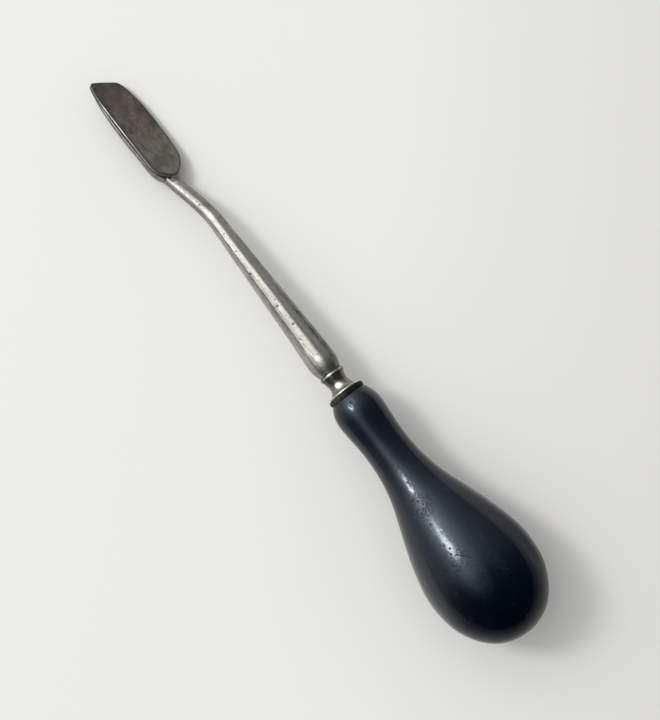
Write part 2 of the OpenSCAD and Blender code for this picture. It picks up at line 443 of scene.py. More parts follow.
def steel(name, light, dark, rough, pits=1.0, mask=None, warm=(0.20, 0.185, 0.15)):
    """Old forged and filed steel: the light colour in the rubbed band, which also carries a painted highlight; grey and
    speckled elsewhere, with near-black painted shade where the shade attribute is high.
    """
    m = Nodes(name)
    cloud = m.noise(0.26, 5, 0.65, m.stretch((0.6, 1, 1)))
    streak = m.noise(1.0, 4, 0.6, m.stretch((0.12, 2.6, 2.6)))
    hair = m.noise(1.0, 3, 0.6, m.stretch((0.35, 9.0, 9.0)))
    grit = m.noise(1.9, 4, 0.72)
    amount = m.math("ADD", m.math("MULTIPLY", m.ramp(cloud, 0.38, 0.66), 0.55),
                    m.math("MULTIPLY", m.ramp(streak, 0.42, 0.70), 0.45), True)
    if mask:
        keep = m.attribute(mask)
        ragged = m.math("ADD", keep, m.math("MULTIPLY", m.math("SUBTRACT", grit, 0.5), 1.3))
        keep = m.math("MULTIPLY", m.ramp(ragged, 0.20, 0.85), m.ramp(keep, 0.02, 0.25))
        amount = m.math("MAXIMUM", m.math("MULTIPLY", amount, 0.70), m.math("SUBTRACT", 1.0, keep), True)
    deep = m.mix(m.math("MULTIPLY", m.ramp(cloud, 0.35, 0.65), 0.7), dark, tuple(0.70 * c for c in dark))
    colour = m.mix(amount, light, deep)
    colour = m.mix(m.math("MULTIPLY", m.ramp(grit, 0.47, 0.64), 0.55), colour, tuple(0.40 * c for c in dark))
    fleck = m.math("MULTIPLY", m.ramp(m.noise(3.0, 3, 0.6, m.stretch((1, 1, 1), (4, 8, 2))), 0.58, 0.70), 0.45)
    colour = m.mix(fleck, colour, tuple(0.5 * (a + b) for a, b in zip(light, dark)))
    # painted shade: the colour goes towards near-black on far sides, recesses and under the plate
    colour = m.mix(m.math("MULTIPLY", m.attribute("shade"), 0.88), colour, (0.068, 0.065, 0.057))
    colour = m.mix(m.math("MULTIPLY", m.attribute("tint"), 0.85), colour, warm)
    where = m.ramp(m.noise(0.30, 3, 0.6), 0.38, 0.60)
    pit = m.math("MULTIPLY", m.ramp(m.voronoi(0.85), 0.06, 0.26, 1, 0), where)
    pit = m.math("MAXIMUM", pit, m.attribute("nick"), True)
    colour = m.mix(m.math("MULTIPLY", pit, 0.7 * pits), colour, (0.040, 0.036, 0.030))
    r = m.ramp(cloud, 0.3, 0.75, rough - 0.04, rough + 0.10)
    r = m.math("ADD", r, m.math("MULTIPLY", m.ramp(hair, 0.4, 0.75), 0.06))
    r = m.math("ADD", r, m.math("MULTIPLY", pit, 0.25), True)
    n = m.bump(hair, 0.000012, 0.7)
    n = m.bump(grit, 0.000035, 0.6, n)
    n = m.bump(m.math("SUBTRACT", 1.0, pit), 0.00007, 0.9, n)
    m.set(Base_Color=colour, Roughness=r, Normal=n, Metallic=1.0)
    return m.mat


def plate_steel():
    """Heat-darkened face of the iron: purple-brown toward the tip, olive grey at the heel."""
    m = Nodes("face_plate_steel")
    x = m.axis(0)
    cloud = m.noise(0.30, 5, 0.62, m.stretch((0.7, 1, 1), (3, 0, 0)))
    small = m.noise(1.0, 5, 0.74)
    streak = m.noise(0.9, 3, 0.6, m.stretch((0.35, 1.5, 1.5)))
    heel = m.ramp(x, -113, -97)
    brown = m.mix(m.ramp(cloud, 0.38, 0.64), (0.070, 0.060, 0.050), (0.150, 0.124, 0.106))
    grey = m.mix(m.ramp(cloud, 0.38, 0.64), (0.126, 0.113, 0.094), (0.200, 0.180, 0.154))
    colour = m.mix(heel, brown, grey)
    purple = m.math("MULTIPLY", m.attribute("patch"), m.ramp(cloud, 0.25, 0.6, 0.6, 1))
    colour = m.mix(m.math("MULTIPLY", purple, 0.70), colour, (0.108, 0.069, 0.067))
    rust = m.math("MULTIPLY", m.attribute("rust"), m.ramp(small, 0.36, 0.60, 0.25, 1))
    colour = m.mix(m.math("MULTIPLY", rust, 0.75), colour, (0.225, 0.165, 0.148))
    specks = m.math("MULTIPLY", m.ramp(small, 0.57, 0.68), m.math("ADD", 0.25, m.attribute("speckle")), True)
    colour = m.mix(m.math("MULTIPLY", specks, 0.60), colour, (0.30, 0.285, 0.24))
    colour = m.mix(m.math("MULTIPLY", m.ramp(streak, 0.30, 0.46, 1, 0), 0.45), colour, (0.050, 0.043, 0.038))
    colour = m.mix(m.math("MULTIPLY", m.attribute("border"), 0.75), colour, (0.040, 0.039, 0.034))
    # partly rubbed steel and partly painted highlight: the left arris toward the window is light
    arris_wear_and_highlight = m.math("MULTIPLY", m.attribute("edge"), m.ramp(m.noise(0.9, 3, 0.6), 0.25, 0.55, 0.6, 1))
    colour = m.mix(arris_wear_and_highlight, colour, (0.72, 0.71, 0.66))
    rough = m.ramp(cloud, 0.3, 0.7, 0.42, 0.56)
    rough = m.math("SUBTRACT", rough, m.math("MULTIPLY", arris_wear_and_highlight, 0.18))
    n = m.bump(m.noise(0.5, 4, 0.6), 0.00012, 0.8)
    n = m.bump(small, 0.00005, 0.7, n)
    m.set(Base_Color=colour, Roughness=rough, Normal=n, Metallic=0.55)
    return m.mat


def leather():
    m = Nodes("seat_leather")
    grain = m.voronoi(2.6, None, "DISTANCE_TO_EDGE")
    cloud = m.noise(0.8, 4, 0.6)
    layers = m.noise(1.0, 3, 0.6, m.stretch((5.0, 0.5, 0.5)))
    colour = m.mix(m.ramp(cloud, 0.35, 0.7), (0.004, 0.004, 0.005), (0.013, 0.013, 0.014))
    colour = m.mix(m.math("MULTIPLY", m.ramp(layers, 0.5, 0.7), 0.35), colour, (0.024, 0.023, 0.021))
    # painted light: the side toward the window is a lighter grey
    side = m.ramp(m.axis(1), -2.5, -6.0)
    colour = m.mix(m.math("MULTIPLY", side, m.ramp(cloud, 0.3, 0.6, 0.3, 0.8)), colour, (0.060, 0.058, 0.054))
    rough = m.ramp(cloud, 0.3, 0.7, 0.50, 0.66)
    n = m.bump(layers, 0.00005, 0.7)
    n = m.bump(m.ramp(grain, 0.0, 0.12), 0.00003, 0.6, n)
    m.set(Base_Color=colour, Roughness=rough, Normal=n, IOR=1.18)
    return m.mat


def braze():
    m = Nodes("braze_metal")
    cloud = m.noise(0.9, 5, 0.62)
    fine = m.noise(3.5, 3, 0.6)
    colour = m.mix(m.ramp(cloud, 0.35, 0.68), (0.21, 0.193, 0.158), (0.30, 0.278, 0.230))
    colour = m.mix(m.math("MULTIPLY", m.ramp(fine, 0.52, 0.7), 0.5), colour, (0.06, 0.050, 0.035))
    n = m.bump(cloud, 0.00010, 0.7)
    n = m.bump(fine, 0.00003, 0.6, n)
    m.set(Base_Color=colour, Roughness=m.ramp(cloud, 0.3, 0.7, 0.38, 0.55), Normal=n, Metallic=0.6)
    return m.mat


def cement():
    m = Nodes("cutlers_cement")
    cloud = m.noise(0.35, 4, 0.6)
    grit = m.noise(2.2, 4, 0.7)
    colour = m.mix(m.ramp(cloud, 0.35, 0.65), (0.10, 0.045, 0.020), (0.20, 0.10, 0.045))
    colour = m.mix(m.math("MULTIPLY", m.ramp(grit, 0.55, 0.7), 0.6), colour, (0.30, 0.21, 0.13))
    n = m.bump(grit, 0.00012, 0.7)
    m.set(Base_Color=colour, Roughness=m.ramp(grit, 0.3, 0.7, 0.45, 0.75), Normal=n)
    return m.mat


# ------------------------------------------------------------------ handle
NOSE_X, BUTT_X = 7.4, 106.0
HANDLE = [
    (NOSE_X, 6.75), (8, 7.1), (9.3, 7.8), (11, 8.4), (14.1, 8.8), (18.8, 8.5), (22.5, 8.15), (27.8, 7.9),
    (35, 8.25), (40.4, 9.1), (45.8, 10.45), (51.1, 12.3), (56.5, 14.3), (61.8, 16.15), (67.1, 17.8),
    (72.4, 19.15), (76.5, 19.9), (80.5, 20.2), (85.5, 19.9), (89, 19.3), (92, 18.4), (95, 17.0), (98, 15.2),
    (100.7, 12.95), (102.8, 10.5), (104.4, 7.6), (105.5, 4.3), (BUTT_X, 0)]


def build_handle():
    line = even(catmull(HANDLE, 24), 2400)
    line = soften(line, 22, "pole")
    line[0] = (NOSE_X, 6.75)
    line[-1] = (BUTT_X, 0)
    line[:, 1] = np.maximum(line[:, 1], 0)
    outer = even(line, 300)
    count = 320
    t = np.arange(count) / count * 2 * math.pi
    bulk, small = Lattice(11), Lattice(12)
    normal = np.gradient(outer, axis=0)
    normal = np.column_stack([-normal[:, 1], normal[:, 0]])
    normal /= np.linalg.norm(normal, axis=1)[:, None]
    if normal[len(normal) // 2, 1] < 0:
        normal = -normal
    grid = np.zeros((len(outer), count, 3))
    grid[:, :, 0] = outer[:, :1]
    grid[:, :, 1] = outer[:, 1:] * np.sin(t)
    grid[:, :, 2] = outer[:, 1:] * np.cos(t)
    out = np.stack([np.repeat(normal[:, :1], count, 1), normal[:, 1:] * np.sin(t), normal[:, 1:] * np.cos(t)], -1)
    # hand-turned unevenness, and soft dents
    d = 0.030 * bulk.octaves(grid / 17.0) + 0.008 * small.octaves(grid / 4.0)
    nick = np.zeros(grid.shape[:2])
    scuff = np.zeros(grid.shape[:2])
    for x, deg, long, wide, strength in SCUFFS:
        a = math.radians(deg)
        r = np.interp(x, outer[:, 0], outer[:, 1])
        off = ((t[None] - a + math.pi) % (2 * math.pi) - math.pi) * r
        q = ((grid[:, :, 0] - x) / long) ** 2 + (off / wide) ** 2
        q = q + 0.55 * small.octaves(grid / 5.0)
        scuff = np.maximum(scuff, strength * smoothstep(1.35, 0.45, q))
    for x, deg, radius, depth, strength in NICKS:
        r = np.interp(x, outer[:, 0], outer[:, 1])
        a = math.radians(deg)
        c = np.array([x, r * math.sin(a), r * math.cos(a)])
        q = np.linalg.norm(grid - c, axis=2)
        d -= depth * np.exp(-(q / radius) ** 2)
        nick = np.maximum(nick, strength * smoothstep(1.25 * radius, 0.45 * radius, q))
    # the nose's own edge stays true against the washer
    fade = smoothstep(0, 12, np.arange(len(outer)))[:, None]
    d *= fade
    grid += out * d[:, :, None]
    rings = turned([(65.4, 0.0), (65.4, 3.2), (40, 3.2), (NOSE_X, 3.2)], count)
    rings += [grid[i] for i in range(len(outer) - 1)] + [np.array([[BUTT_X, 0.0, 0.0]])]
    verts, quads, tris = skin(rings)
    ob = make_mesh("palm_handle", verts, quads, tris)
    values = np.zeros(len(verts))
    start = 1 + 3 * count
    values[start:start + (len(outer) - 1) * count] = nick[:-1].ravel()
    point_value(ob, "nick", values)
    values = np.zeros(len(verts))
    values[start:start + (len(outer) - 1) * count] = scuff[:-1].ravel()
    point_value(ob, "scuff", values)
    # painted shade of the reflections: the lacquer's specular level is turned down at the butt and along the side away
    # from the window
    x, ang = verts[:, 0], np.degrees(np.arctan2(verts[:, 1], verts[:, 2]))
    butt = smoothstep(76, 95, x)
    side = smoothstep(8, 32, ang) * (1 - smoothstep(100, 140, ang)) * (0.45 + 0.55 * smoothstep(45, 75, x)) * smoothstep(12, 22, x)
    reflection_shade = np.maximum(butt, side) * (0.92 + 0.08 * bulk.octaves(verts / 14.0))
    point_value(ob, "reflection_shade", np.clip(reflection_shade, 0, 1))
    return ob


# x along the handle, angle from the top towards +Y in degrees, radius, depth, darkness
NICKS = [
    (10.0, -33.5, 0.50, 0.20, 1.0), (10.9, -40, 0.45, 0.07, 0.0), (24.0, 20, 0.35, 0.05, 0.3),
    (63.4, -106, 0.7, 0.14, 0.5), (72.3, -98, 0.7, 0.14, 0.5), (88.2, 48, 0.8, 0.12, 0.6),
    (78.9, -15, 0.45, 0.05, 0.5), (80.3, -13, 0.35, 0.05, 0.4), (58.0, -47, 0.26, 0.08, 0.9),
    (61.6, -40, 0.22, 0.08, 0.9), (52.5, -45, 0.30, 0.09, 0.9), (66.0, -47, 0.22, 0.07, 0.9),
    (67.8, -43, 0.28, 0.08, 0.9), (43.0, -39, 0.30, 0.08, 0.8), (69.5, -46, 0.22, 0.07, 0.9), (96.5, 30, 0.5, 0.08, 0.3),
]
# x, angle, half length, half width, strength of scuffed places
SCUFFS = [
    (51.5, -44, 4.6, 4.2, 1.0), (62.0, -43, 8.0, 3.0, 0.10), (73.5, -40, 3.5, 4.0, 0.38),
    (79.0, -38, 7.0, 4.0, 0.25), (40.0, -38, 5.0, 1.8, 0.22), (79.5, -14, 3.5, 2.0, 0.4), (88.0, 46, 4.0, 3.0, 0.4),
]


# ------------------------------------------------------------------ turned fittings
RING_X, RING_LEN = -2.6, 1.4
FLANGE_X = NOSE_X - 2
BORE = 2.3


def build_ring():
    r = 4.5
    outer = fillet_line([(RING_X, BORE), (RING_X, r - 0.05), (RING_X + RING_LEN / 2, r + 0.03),
                         (RING_X + RING_LEN, r - 0.05), (RING_X + RING_LEN, BORE)],
                        [0, 0.42, 0.5, 0.42, 0], 8)
    verts, quads, tris = ring_mesh(outer, 192)
    ob = make_mesh("bead_ring", verts, quads, tris)
    x, ang = verts[:, 0], np.degrees(np.arctan2(verts[:, 1], verts[:, 2]))
    # painted highlight: a thin bright line round the bead's crest on the side toward the window; painted shade on the
    # rest of the bead
    lip = np.exp(-((x - RING_X - 0.62) / 0.30) ** 2) * smoothstep(55, 20, ang) * smoothstep(-100, -70, ang)
    collar_values(ob, lip, 0.75 * (1 - lip))
    return ob


def collar_values(ob, rubbed, shade):
    n = len(ob.data.vertices)
    for name, v in (("nick", np.zeros(n)), ("tint", np.zeros(n)), ("rubbed", rubbed), ("shade", shade)):
        point_value(ob, name, v)


def ring_mesh(profile, count, wobble=0.0, seed=5):
    """A closed turned ring from a section line whose ends both lie on the bore."""
    profile = np.asarray(profile, float)
    rings = turned(profile, count)
    if wobble:
        lat = Lattice(seed)
        for k, r in enumerate(rings):
            rad = np.linalg.norm(r[:, 1:], axis=1, keepdims=True)
            share = np.clip((rad - BORE) / 2, 0, 1)
            r[:, 1:] += r[:, 1:] / rad * (wobble * lat.octaves(r / 1.6)[:, None]) * share
    n = sum(len(r) for r in rings)
    verts = np.vstack(rings)
    idx = np.arange(n).reshape(len(rings), count)
    quads = []
    for k in range(len(rings)):
        p, q = idx[k], idx[(k + 1) % len(rings)]
        quads.append(np.column_stack([p, q, np.roll(q, -1), np.roll(p, -1)]))
    return verts, np.vstack(quads), np.zeros((0, 3), int)


def build_bolster():
    w, f = 3.55, 5.9
    x0 = RING_X + RING_LEN
    cove = even(soften(even(catmull([(x0, w + 0.55), (x0 + 0.8, w + 0.40), (1.2, w + 0.05), (2.0, w + 0.02),
                                     (3.0, w + 0.25), (3.9, w + 0.75), (FLANGE_X - 0.7, w + 1.5)], 12), 240), 6), 44)
    flange = fillet_line([cove[-1], (FLANGE_X - 0.66, f - 0.12), (FLANGE_X - 0.42, f), (FLANGE_X - 0.12, f),
                          (FLANGE_X, f - 0.12), (FLANGE_X, BORE)], [0, 0.2, 0.12, 0.1, 0.1, 0], 4)
    profile = np.vstack([[(x0, BORE)], cove, flange[1:]])
    verts, quads, tris = ring_mesh(profile, 192)
    ob = make_mesh("flanged_bolster", verts, quads, tris)
    x, ang = verts[:, 0], np.degrees(np.arctan2(verts[:, 1], verts[:, 2]))
    rad = np.hypot(verts[:, 1], verts[:, 2])
    lat = Lattice(15)
    # painted highlight: a bright spot on the cove toward the window, a fainter band round the waist on that side, and
    # the flange's rim; painted shade in the cove where it runs in to the bead
    spot = np.exp(-((x - 2.3) / 1.3) ** 2 - ((ang + 36) / 24) ** 2)
    waist = 0.35 * np.exp(-((x - 3.0) / 1.6) ** 2) * np.exp(-((ang + 30) / 60) ** 2)
    rim = smoothstep(f - 0.75, f - 0.35, rad) * (x > FLANGE_X - 0.75)
    rubbed = np.clip(np.maximum(np.maximum(spot, waist), 0.9 * rim) + 0.15 * lat.octaves(verts / np.array([2.5, 0.8, 0.8])), 0, 1)
    dark = smoothstep(1.9, -0.4, x) * (1 - 0.6 * spot) * (0.75 + 0.35 * lat.octaves(verts / np.array([3.0, 0.9, 0.9])))
    collar_values(ob, rubbed, np.clip(dark, 0, 1))
    return ob


def build_washer():
    r = 6.75
    outer = fillet_line([(FLANGE_X, BORE), (FLANGE_X, r - 0.35), (FLANGE_X + 0.45, r), (NOSE_X - 0.65, r),
                         (NOSE_X - 0.02, r - 0.4), (NOSE_X, r - 0.5), (NOSE_X, BORE)], [0, 0.3, 0.4, 0.4, 0.2, 0.1, 0], 5)
    verts, quads, tris = ring_mesh(outer, 192, 0.05, 6)
    return make_mesh("leather_washer", verts, quads, tris)


# ------------------------------------------------------------------ shank
SHANK = [
    (-97.5, -7.1, 2.3, 0), (-95.8, -7.8, 2.45, 0), (-94, -8.1, 2.5, 0), (-92, -7.55, 2.5, 0),
    (-89, -6.4, 2.5, 0), (-85, -4.75, 2.55, 0.1), (-81, -3.1, 2.6, 0.2), (-77, -1.7, 2.65, 0.35),
    (-73, -0.6, 2.65, 0.6), (-69, 0, 2.7, 0.85), (-58, 0, 3.1, 1), (-47, 0, 3.5, 1), (-38.5, 0, 3.85, 1),
    (-30, 0, 4.2, 1), (-19, 0, 4.63, 1), (-11, 0, 5.02, 1), (-7.7, 0, 5.1, 0.95), (-6, 0, 5.0, 0.7),
    (-4.9, 0, 4.8, 0.4), (-3.6, 0, 4.4, 0.15), (RING_X, 0, 4.1, 0)]
# x, left edge, right edge, side depth left, side depth right, lowest point, top
PALM = [
    (-132.6, -5.4, -3.4, 0.3, 0.3, -3.8, -3.3), (-131.2, -6.1, -0.2, 0.6, 0.5, -4.1, -3.3),
    (-129, -6.6, 3.4, 1.2, 1.0, -4.6, -3.3), (-125.5, -7.0, 4.9, 1.8, 1.5, -5.1, -3.3),
    (-121, -7.3, 5.8, 2.1, 1.9, -5.5, -3.3), (-116, -7.4, 6.3, 2.3, 2.15, -5.9, -3.3),
    (-108, -7.3, 6.5, 2.3, 2.3, -6.7, -3.3), (-102, -6.9, 6.2, 2.3, 2.3, -8.0, -3.32),
    (-98.5, -6.65, 5.4, 2.5, 2.4, -9.4, -3.4), (-96, -6.1, 3.9, 2.4, 2.4, -10.3, -3.75),
    (-94, -4.7, 2.3, 2.2, 2.2, -10.55, -4.6), (-92.3, -3.1, 1.2, 1.0, 1.0, -9.9, -5.5)]
TANG = [(NOSE_X - 0.5, 1.55), (NOSE_X + 2, 1.55), (NOSE_X + 50, 0.8)]
FLATS = np.radians(np.arange(8) * 45)


def eight_sided(t, a, share, power=17):
    """Radius in direction t of an octagon with softened corners, or of a round."""
    c = np.maximum(0, np.cos(t[:, None] - FLATS[None])) ** power
    r8 = a / c.sum(1) ** (1 / power)
    return a + share * (r8 - a)


def chaikin(p, n):
    for _ in range(n):
        q = [p[0]]
        for a, b in zip(p[:-1], p[1:]):
            q += [0.75 * a + 0.25 * b, 0.25 * a + 0.75 * b]
        p = np.array(q + [p[-1]])
    return p


def palm_outline(row):
    left, right, dl, dr, b, u = row
    c, w = (left + right) / 2, (right - left) / 2
    lo_l, lo_r = u - dl, u - dr
    lower = np.array([(right, u), (right, lo_r), (c + 0.62 * w, lo_r + 0.72 * (b - lo_r)), (c + 0.28 * w, b),
                      (c - 0.28 * w, b), (c - 0.62 * w, lo_l + 0.72 * (b - lo_l)), (left, lo_l), (left, u)])
    edge = np.vstack([[(right - 0.12, u)], chaikin(np.vstack([[(right, u - 0.12)], lower[1:-1], [(left, u - 0.12)]]), 3),
                      [(left + 0.12, u)]])
    return edge


def ray_radius(outline, centre, t):
    """How far the closed outline lies from centre in each direction (sin t, cos t)."""
    p = outline - centre
    q = np.roll(p, -1, axis=0)
    d = np.column_stack([np.sin(t), np.cos(t)])
    e = q - p
    den = d[:, None, 0] * e[None, :, 1] - d[:, None, 1] * e[None, :, 0]
    den = np.where(np.abs(den) < 1e-12, 1e-12, den)
    s = (p[None, :, 0] * e[None, :, 1] - p[None, :, 1] * e[None, :, 0]) / den
    k = (p[None, :, 0] * d[:, None, 1] - p[None, :, 1] * d[:, None, 0]) / den
    ok = (s > 0) & (k >= -1e-9) & (k <= 1 + 1e-9)
    return np.where(ok, s, 0).max(1)


def circle_radius(centre, middle, a, t):
    """The same for a round of radius a about middle; nothing where the ray misses it."""
    m = np.array(middle) - np.array(centre)
    d = np.column_stack([np.sin(t), np.cos(t)])
    b = d @ m
    disc = b * b - (m @ m - a * a)
    return np.where(disc > 0, b + np.sqrt(np.maximum(disc, 0)), 0)


COUNT = 176


def shank_rings():
    shank = np.array(SHANK)
    palm = np.array(PALM)
    turn = np.arange(COUNT) / COUNT * 2 * math.pi
    fine = np.arange(1440) / 1440 * 2 * math.pi
    rings, marks = [], []
    xs_palm = np.concatenate([np.linspace(-132.6, -128, 22)[:-1], np.linspace(-128, -101, 66)[:-1],
                              np.linspace(-101, -89.6, 74)])
    xs_bar = np.concatenate([np.linspace(-89.6, -69, 72)[1:], np.linspace(-69, -10, 200)[1:],
                             np.linspace(-10, RING_X, 44)[1:]])
    bar_at = hermite(shank[:, 0], shank[:, 1:], np.clip(xs_palm, -97.5, None))
    palm_at = hermite(palm[:, 0], palm[:, 1:], np.clip(xs_palm, None, -92.3))
    for x, (zc, a, b), row in zip(xs_palm, bar_at, palm_at):
        has_bar = x > -98.6
        has_palm = x < -92.3
        if has_palm:
            line = palm_outline(row)
            centre = np.array([(row[0] + row[1]) / 2, 0.45 * row[5] + 0.55 * row[4]])
            if has_bar:
                k = smoothstep(-98.6, -94.5, np.array([x]))[0]
                centre = (1 - k) * centre + k * np.array([0.0, zc])
            r = ray_radius(line, centre, fine)
        else:
            centre = np.array([0.0, zc])
            r = np.zeros(len(fine))
        if has_bar:
            grow = smoothstep(-98.6, -96.4, np.array([x]))[0]
            rb = circle_radius(centre, (0.0, zc), a * (0.55 + 0.45 * grow), fine)
            r = 0.5 * (r + rb + np.sqrt((r - rb) ** 2 + 0.18 ** 2)) - 0.5 * 0.18 * 0.25 if has_palm else rb
        line = np.column_stack([centre[0] + r * np.sin(fine), centre[1] + r * np.cos(fine)])
        line = even(line, COUNT, True)
        # the first point stays straight above the centre line
        line = soften_closed(line, 0.8)
        rings.append(np.column_stack([np.full(COUNT, x), line]))
    bar = hermite(shank[:, 0], shank[:, 1:], xs_bar)
    for x, (zc, a, b) in zip(xs_bar, bar):
        r = eight_sided(turn, a, b)
        rings.append(np.column_stack([np.full(COUNT, x), r * np.sin(turn), zc + r * np.cos(turn)]))
    # smooth along the length where the palm turns into the bar
    grid = np.array(rings)
    k0 = len(xs_palm)
    g, rr = kernel(2.2)
    part = grid[:k0 + 20]
    padded = np.concatenate([np.repeat(part[:1], rr, 0), part, np.repeat(part[-1:], rr, 0)])
    smooth = np.stack([(padded[i:i + 2 * rr + 1] * g[:, None, None]).sum(0) for i in range(len(part))])
    keep = np.minimum(smoothstep(3, 10, np.arange(len(part))), smoothstep(0, 10, len(part) - 1 - np.arange(len(part))))
    grid[:len(part)] = part + (smooth - part) * keep[:, None, None]
    grid[:, :, 0] = np.array([r[0, 0] for r in rings])[:, None]
    return grid, len(xs_palm)


def build_shank():
    grid, k0 = shank_rings()
    bulk, small = Lattice(21), Lattice(22)
    centre = grid.mean(1, keepdims=True)
    out = grid - centre
    out[:, :, 0] = 0
    out /= np.maximum(np.linalg.norm(out, axis=2, keepdims=True), 1e-6)
    x = grid[:, :, 0]
    d = 0.035 * bulk.octaves(grid / np.array([9.0, 3.5, 3.5])) + 0.012 * small.octaves(grid / np.array([3.0, 1.0, 1.0]))
    # under the plate the seat stays flat
    seat = (x < -93) & (grid[:, :, 2] > -3.75)
    d = np.where(seat, 0, d)
    d *= 1 - smoothstep(-4.5, RING_X, x)
    nick = np.zeros(x.shape)
    for nx, deg, radius, depth, strength in SHANK_NICKS:
        i = int(np.argmin(np.abs(grid[:, 0, 0] - nx)))
        j = int(round(((math.radians(deg) / (2 * math.pi)) % 1) * COUNT)) % COUNT
        q = np.linalg.norm(grid - grid[i, j], axis=2)
        d -= depth * np.exp(-(q / radius) ** 2)
        nick = np.maximum(nick, strength * smoothstep(1.3 * radius, 0.4 * radius, q))
    round_deg = np.degrees(np.arctan2(grid[:, :, 1], grid[:, :, 2] - centre[:, :, 2]))
    drift = 1.2 * bulk.octaves(np.dstack([x / 7.0, x * 0, x * 0]))
    lines = np.maximum(groove(x, round_deg, -66 + drift, 3.8), 0.85 * groove(x, round_deg, -79 - drift, 3.4))
    lines *= 0.75 + 0.35 * small.octaves(np.dstack([x / 1.5, x * 0, x * 0]))
    d = d - 0.07 * lines
    nick = np.maximum(nick, np.clip(1.25 * lines, 0, 1))
    grid = grid + out * d[:, :, None]
    # the bar is a hair out of line with the handle
    grid[:, :, 1] += 0.20 * smoothstep(-86, -66, x) * smoothstep(-6, -22, x)
    turn = np.arange(COUNT) / COUNT * 2 * math.pi
    rings = [grid[i] for i in range(len(grid))]
    n_seen = len(rings)
    for x1 in (RING_X + 0.001, NOSE_X):
        rings.append(np.column_stack([np.full(COUNT, x1), BORE * 0.99 * np.sin(turn), BORE * 0.99 * np.cos(turn)]))
    four = np.radians(np.arange(4) * 90)
    for x1, h in TANG[1:]:
        c = np.maximum(0, np.cos(turn[:, None] - four[None])) ** 60
        r = h / c.sum(1) ** (1 / 60)
        rings.append(np.column_stack([np.full(COUNT, x1), r * np.sin(turn), r * np.cos(turn)]))
    verts, quads, tris = skin(rings)
    ob = make_mesh("eight_sided_shank", verts, quads, tris)
    values = np.zeros(len(verts))
    values[:n_seen * COUNT] = nick.ravel()
    point_value(ob, "nick", values)
    # heat tint of the brazing at the shank's start
    x, y, z = verts.T
    centre_z = np.interp(x, [r[0] for r in SHANK], [r[1] for r in SHANK])
    ang = np.degrees(np.arctan2(y, z - centre_z))
    tint = smoothstep(-84.0, -90.5, x) * smoothstep(-97, -94, x) * smoothstep(-38, -12, ang)
    point_value(ob, "tint", np.clip(tint * (0.8 + 0.5 * bulk.octaves(verts / 1.6)), 0, 1))
    # rubbed by hands and cloths, and given its own colour to set the painted highlight where the window's reflection
    # falls: the facet beside the top one, and the narrow back of the crank; it dies out in the shoulder
    wander = 2.5 * bulk.octaves(np.column_stack([x / 9.0, y * 0, z * 0]))
    half = np.interp(x, [-94, -88, -80, -75, -70, -40, -14, -8], [4.0, 5.5, 7.5, 11, 16, 20, 21, 13])
    off = ang + np.interp(x, [-94, -78, -70, -30, -14, -8], [39, 39, 38, 37, 33, 31]) + wander * 0.6
    bar = smoothstep(-73, -68, x)
    rubbed = smoothstep(-half + 1.0, -half + 8.0, off) * (1 - smoothstep(half * (1 - 0.45 * bar), half + 3 + 12 * bar, off))
    rubbed = rubbed * smoothstep(-94.0, -92.0, x) * smoothstep(-7.6, -12.0, x) * (1 - 0.35 * smoothstep(-84, -90, x))
    point_value(ob, "rubbed", rubbed)
    # painted shade: dark on the far side from the window, under the plate's heel, along the crank beside its bright
    # line, and where the shoulder runs in to the bead
    far = smoothstep(14, 34, ang) * (1 - smoothstep(110, 140, ang))
    neck = 0.60 * smoothstep(-10.0, -4.5, x) * (0.55 + 0.45 * smoothstep(-60, 0, ang))
    crank = 0.62 * smoothstep(-68, -76, x) * (1 - np.exp(-(off / 11) ** 2))
    # painted shade: a darker strip between the bright facet and its draw lines
    crank = np.maximum(crank, 0.50 * np.exp(-((ang + 64) / 7.5) ** 2) * bar)
    crank = np.maximum(crank, 0.58 * np.exp(-((ang + 53) / 7.0) ** 2) * smoothstep(-62, -45, x))
    crank = np.maximum(crank, 0.26 * np.exp(-((x + 80.5) / 4.0) ** 2))
    under = 0.35 * smoothstep(-93, -96, x)
    last = 0.96 * smoothstep(2, 22, ang) * (1 - smoothstep(110, 140, ang)) * smoothstep(-62, -16, x)
    shade = np.maximum(np.maximum(np.maximum(0.82 * far, last), neck), np.maximum(crank, under))
    point_value(ob, "shade", np.clip(shade * (0.9 + 0.3 * small.octaves(verts / 1.5)), 0, 1))
    return ob


def groove(x, ang, at, width):
    """Fine draw line along an arris, in degrees round the bar."""
    line = np.exp(-((ang - at) / width) ** 2)
    return line * smoothstep(-72, -64, x) * smoothstep(-11, -15, x)


SHANK_NICKS = [
    (-46.0, -60, 0.42, 0.12, 0.9), (-31.2, -43, 0.40, 0.10, 0.8), (-26.9, 1, 0.40, 0.09, 0.9),
    (-23.0, -35, 0.40, 0.09, 0.8), (-11.8, 47, 0.45, 0.12, 0.9), (-55.0, -50, 0.3, 0.06, 0.6),
    (-62.5, -40, 0.3, 0.06, 0.5), (-76.2, -38, 0.45, 0.10, 0.8), (-77.6, -30, 0.35, 0.07, 0.6), (-38.0, 8, 0.35, 0.06, 0.6), (-17.5, -49, 0.35, 0.05, 0.5)]

# ------------------------------------------------------------------ face plate
PLATE = [
    (-133.75, -4.8), (-133.45, -5.6), (-132.6, -6.3), (-129.7, -6.95), (-124.7, -7.15), (-116.5, -7.1),
    (-108.6, -7.0), (-101, -6.85), (-96.5, -6.6), (-94.2, -5.8), (-92.3, -3.8), (-90.7, -1.2),
    (-90.4, 0.4), (-91.4, 2.4), (-94, 4.9), (-97.2, 6.35), (-102, 6.8), (-108.6, 6.9),
    (-117.5, 6.7), (-123, 6.0), (-127.3, 5.0), (-129.3, 4.1), (-130, 3.5), (-130.7, 2.4),
    (-131.7, 0.3), (-132.9, -2.3)]
PLATE_TOP, PLATE_UNDER = -1.9, -3.3


